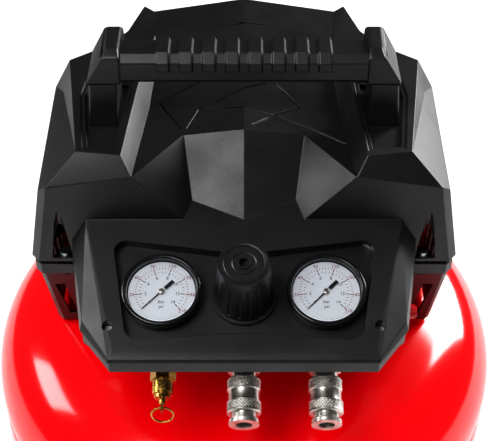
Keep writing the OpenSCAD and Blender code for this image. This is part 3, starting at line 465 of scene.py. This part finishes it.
INK = 0.04 * MM
for side, centre in (("left", LEFT_GAUGE), ("right", RIGHT_GAUGE)):
    middle = on_console(face_point(centre.x, DIAL_TOP + INK))
    scale_of(middle, side + "_outer_scale", SCALE_RED, 18.6 * MM, 2.6 * MM, 7, 6,
             [(str(v), v / 210) for v in range(30, 211, 30)], 20.4 * MM, 3.5 * MM)
    scale_of(middle, side + "_inner_scale", MATERIALS["pointer_black"], 15.6 * MM, 2.4 * MM, 7, 4,
             [(str(v), v / 14) for v in range(0, 15, 2)], 11.0 * MM, 3.4 * MM)
    units = joined([printed(middle @ Matrix.Translation((0, -7.5 * MM, 0)), "bar", 3.6 * MM),
                    printed(middle @ Matrix.Translation((0, -11 * MM, 0)), "psi", 3.2 * MM)],
                   side + "_units")
    wear(units, "pointer_black")
    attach(units, "root")

    # the case: a deep can with a rolled, glossy bezel round the lens
    rim = face_point(centre.x, 0)
    profile = [(0, 12), (20, 12), (25.4, 14), (25.4, 40), (27.2, 41.5), (27.2, 46.4),
               (26.3, 47.3), (24.6, 47.3), (23.9, 46.5), (23.6, 44.5), (23.6, 41.6), (0, 41.6)]
    points = softened([(r * MM, q * MM) for r, q in profile], 1.0 * MM, 3)
    case = turned(side + "_gauge_case", points, "gauge_black", "root",
                  on_console(rim), steps=96, soft=40)
    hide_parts("gauge_cases")

    # the pointer: a fine needle, a broad tail to balance it and a bright hub
    swing = on_console(face_point(centre.x, DIAL_TOP)) @ Matrix.Rotation(
        math.radians(135), 4, "Z")
    needle = tick(swing @ Matrix.Translation((0, 0, NEEDLE_UP)), 0, 0, NEEDLE, 1.1 * MM)
    tail = tick(swing @ Matrix.Translation((0, 0, NEEDLE_UP)), 180, 3 * MM, 11 * MM, 2.6 * MM)
    alone(needle)
    bpy.ops.object.mode_set(mode="EDIT")
    bpy.ops.mesh.select_all(action="DESELECT")
    bpy.ops.object.mode_set(mode="OBJECT")
    tip = swing @ Vector((0, NEEDLE, NEEDLE_UP))
    ends_here = [v for v in needle.data.vertices if (v.co - tip).length < 1.5 * MM]
    for vertex in ends_here:
        vertex.select = True
    bpy.ops.object.mode_set(mode="EDIT")
    bpy.ops.transform.resize(value=(0.35, 0.35, 0.35), center_override=tip)
    bpy.ops.object.mode_set(mode="OBJECT")
    pointer = joined([needle, tail], side + "_needle")
    wear(pointer, "pointer_black")
    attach(pointer, side + "_pointer")
    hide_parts(side + "_gauge_pointer")
    hub_points = [(0, 0.2), (2.3, 0.2), (2.3, 1.2), (1.9, 1.7), (0.9, 1.9), (0, 1.9)]
    turned(side + "_pointer_hub", softened([(r * MM, q * MM) for r, q in hub_points],
                                           0.3 * MM, 2),
           "nickel", side + "_pointer", on_console(face_point(centre.x, DIAL_TOP)), steps=32)

# ------------------------------------------------------------------ couplers

OUTLET = Matrix((Vector((-1, 0, 0)), OUT, -UP_SLOPE)).transposed().to_4x4()


def knurled(piece, place, low, high, least, count, depth):
    """Cuts crossed diamonds into a turned piece between two heights, outside a radius."""
    back = place.inverted()
    pitch = math.tau / count
    for vertex in piece.data.vertices:
        at = back @ vertex.co
        radius = math.hypot(at.x, at.y)
        if low <= at.z <= high and radius > least:
            turn = math.atan2(at.y, at.x) / pitch
            rise = at.z / (radius * pitch)
            cut = min(abs((turn + rise) % 1 - 0.5), abs((turn - rise) % 1 - 0.5)) * 2
            edge = min(1, (at.z - low) / (0.3 * MM), (high - at.z) / (0.3 * MM))
            shrink = 1 - depth * (1 - cut) * max(0, edge) / radius
            vertex.co = place @ Vector((at.x * shrink, at.y * shrink, at.z))


def rows(radius, low, high, step):
    count = max(1, round((high - low) / step))
    return [(radius, low + (high - low) * i / count) for i in range(count + 1)]


for side, station in (("centre", 0.0), ("right", RIGHT_GAUGE.x)):
    axis = Matrix.Translation(Vector((station, DATUM.y, DATUM.z))) @ OUTLET
    bands = [(49.0, 55.2, 11.8), (64.9, 71.2, 12.0)]
    outline = [(8.75, 47.4), (11.0, 47.4), (11.5, 48.4), (11.8, 48.7)]
    outline += rows(11.8, 49.0, 55.2, 0.3)
    outline += [(11.8, 55.5), (11.4, 55.9), (10.9, 56.2), (10.8, 56.6), (10.8, 63.6),
                (10.9, 64.0), (11.6, 64.3), (12.0, 64.6)]
    outline += rows(12.0, 64.9, 71.2, 0.3)
    outline += [(12.0, 71.5), (11.6, 72.1), (11.0, 72.4), (8.75, 72.4), (8.75, 47.4)]
    sleeve = turned(side + "_sleeve_knurled", [(r * MM, q * MM) for r, q in outline], "nickel",
                    side + "_sleeve", axis, steps=180, soft=50)
    for low, high, radius in bands:
        knurled(sleeve, axis, low * MM, high * MM, 9 * MM, 32, 0.8 * MM)
    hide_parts("coupler_sleeve_" + side)

    nose = [(5.6, 56.0), (5.6, 79.3), (6.4, 80.0), (8.6, 80.0), (10.0, 79.6), (10.5, 78.8),
            (10.5, 77.6), (10.1, 77.1), (9.3, 76.7), (8.6, 76.2), (8.6, 43.2), (10.4, 42.4),
            (10.4, 41.0), (8.4, 40.2), (8.4, 24.0), (4.0, 24.0), (4.0, 56.0), (5.6, 56.0)]
    turned(side + "_coupler_core", [(r * MM, q * MM) for r, q in nose], "nickel", "root",
           axis, steps=96, soft=35)

# ------------------------------------------------------------------ safety valve

VALVE = Matrix.Translation(Vector((LEFT_GAUGE.x, DATUM.y, DATUM.z))) @ OUTLET
barrel = [(6.6, 48.3), (7.1, 48.3), (7.4, 48.7)] + rows(7.4, 49.0, 56.8, 0.3)
barrel += [(7.1, 57.4), (6.6, 57.6), (6.6, 48.3)]
valve = turned("safety_valve_band", [(r * MM, q * MM) for r, q in barrel], "brass", "root",
               VALVE, steps=120, soft=50)
knurled(valve, VALVE, 49 * MM, 56.8 * MM, 7 * MM, 22, 0.7 * MM)

# ------------------------------------------------------------------ small details

# the knob's top: a raised rim and a lip round the hole in its middle
KNOB_TOP = max((Vector(corner) - DATUM).dot(OUT) for corner in
               [v.co for v in frame["nodes"]["regulator_knob"].data.vertices])
for name, inner, outer, height in (("knob_rim", 13.2, 15.2, 0.7), ("knob_ring", 7.4, 8.2, 0.5),
                                   ("knob_lip", 3.2, 4.8, 0.9)):
    ring_points = [(inner, -0.3), (inner, height * 0.5), (inner + 0.4, height),
                   (outer - 0.4, height), (outer, height * 0.4), (outer, -0.3), (inner, -0.3)]
    turned(name, [(r * MM, q * MM) for r, q in ring_points], "knob_black", "pressure_knob",
           on_console(face_point(0, KNOB_TOP)), steps=64, soft=45)

# sockets behind the console's two screw holes, each with its screw's head at the bottom
for side in (-1, 1):
    hole = on_console(face_point(side * SCREW_X, FACE_Q, SCREW_UP))
    socket_points = [(3.9, -3.2), (3.9, -14), (0, -14), (0, -16), (6, -16), (6, -3.2),
                     (3.9, -3.2)]
    turned("screw_socket_" + ("left" if side < 0 else "right"),
           [(r * MM, q * MM) for r, q in socket_points], "cover_black", "root", hole, steps=48)
    head_points = [(0, -14), (3.4, -14), (3.4, -12.6), (2.8, -11.9), (0.9, -11.7), (0.9, -12.6),
                   (0, -12.6)]
    turned("console_screw_" + ("left" if side < 0 else "right"),
           [(r * MM, q * MM) for r, q in head_points], "black_steel", "root", hole, steps=32)

# ------------------------------------------------------------------ camera, light, floor

TILT_DOWN = 41.0
LOOK_AT = Vector((0, -0.060, 0.365))
DISTANCE = 0.800
LENS = 82.35

eye = LOOK_AT + DISTANCE * Vector((0, -math.cos(math.radians(TILT_DOWN)),
                                   math.sin(math.radians(TILT_DOWN))))
bpy.ops.object.camera_add(location=eye, rotation=(math.radians(90 - TILT_DOWN), 0, 0))
camera = bpy.context.active_object
camera.data.lens = LENS
camera.data.sensor_width = 36
camera.data.clip_start = 0.01
bpy.context.scene.camera = camera


STAGE_CENTRE = Vector((0, 0, 0.30))


def softbox(name, round_deg, up_deg, distance, size, glow, in_gloss=True):
    """A softbox seen from the middle of the object: degrees round from the front towards
    the right, degrees up, its size in metres and its radiance."""
    turn, lift = math.radians(round_deg), math.radians(up_deg)
    away = Vector((math.sin(turn) * math.cos(lift), -math.cos(turn) * math.cos(lift),
                   math.sin(lift)))
    bpy.ops.object.light_add(type="AREA", location=STAGE_CENTRE + away * distance)
    light = bpy.context.active_object
    light.name = name
    light.rotation_euler = away.to_track_quat("Z", "Y").to_euler()
    light.data.shape = "RECTANGLE"
    light.data.size, light.data.size_y = size
    light.data.energy = glow * math.pi * size[0] * size[1]
    light.visible_glossy = in_gloss
    return light


softbox("rim_box", 127, 22, 1.7, (0.62, 1.0), 26)
softbox("key_box", -40, 54, 1.7, (0.75, 0.75), 11)
softbox("left_box", -98, 25, 1.6, (0.6, 0.5), 13)
softbox("front_fill", 10, 35, 2.0, (1.6, 0.8), 3.6, in_gloss=False)
softbox("top_fill", 180, 82, 1.8, (1.8, 1.8), 2.5, in_gloss=False)

world = bpy.data.worlds.new("studio")
bpy.context.scene.world = world
world.use_nodes = True
sky = world.node_tree
room = sky.nodes["Background"]                  # the dark room that the object stands in
room.inputs["Color"].default_value = colour("#FFFFFF")
room.inputs["Strength"].default_value = 0.10
paper = add(sky, "ShaderNodeBackground", Strength=1.0)
paper.inputs["Color"].default_value = colour("#FFFFFF")
seen = add(sky, "ShaderNodeLightPath")
mix = add(sky, "ShaderNodeMixShader")
sky.links.new(seen.outputs["Is Camera Ray"], mix.inputs[0])
sky.links.new(room.outputs[0], mix.inputs[1])
sky.links.new(paper.outputs[0], mix.inputs[2])
sky.links.new(mix.outputs[0], sky.nodes["World Output"].inputs["Surface"])

bpy.ops.object.select_all(action="DESELECT")
bpy.ops.mesh.primitive_circle_add(vertices=96, radius=1.25, fill_type="NGON")
floor = bpy.context.active_object
floor.name = "floor"
floor_material, floor_tree, floor_shader, floor_place = finish_of("pale_light_table", "#FFFFFF",
                                                                  Roughness=0.9)
floor_shader.inputs["Emission Color"].default_value = colour("#FFFFFF")
floor_shader.inputs["Emission Strength"].default_value = 0.25
tint(floor_tree, floor_shader, floor_place, 0.5, "#C8C8C8", "#CCCCCC")
floor.data.materials.append(floor_material)

bpy.context.scene.view_settings.view_transform = "Standard"
bpy.context.scene.view_settings.gamma = 0.85          # deepens the blacks

bpy.context.view_layer.update()
